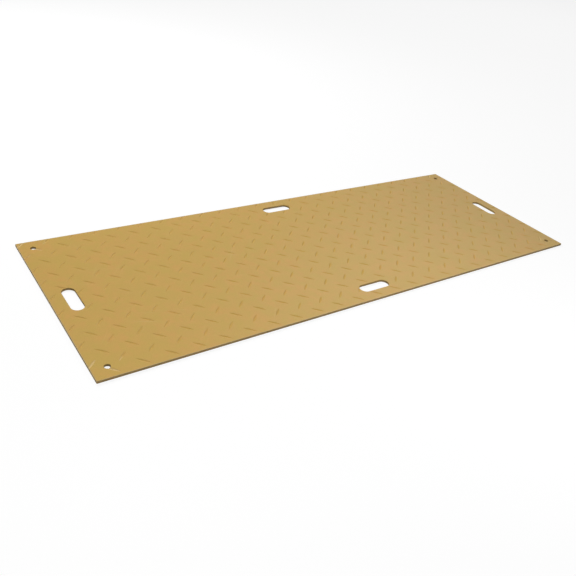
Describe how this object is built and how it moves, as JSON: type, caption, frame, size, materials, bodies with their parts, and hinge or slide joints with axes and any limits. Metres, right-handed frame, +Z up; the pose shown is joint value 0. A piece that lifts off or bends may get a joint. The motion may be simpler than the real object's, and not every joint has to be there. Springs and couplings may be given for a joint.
{
  "type": "ground protection mat",
  "caption": "Long flat plastic mat for temporary access ways, with a tread of sunk lozenges, a hand slot in each side and a bolt hole at each corner.",
  "frame": {"origin": "centre of the underside", "axes": "+X along the length, +Y across the width, +Z up out of the tread"},
  "size_m": [2.43, 0.91, 0.01],
  "materials": {
    "tan_plastic": "dull pressed polyethylene, tan right through, slightly cloudy"
  },
  "bodies": {
    "root": {"ground_mat": "tan_plastic"}
  },
  "joints": []
}
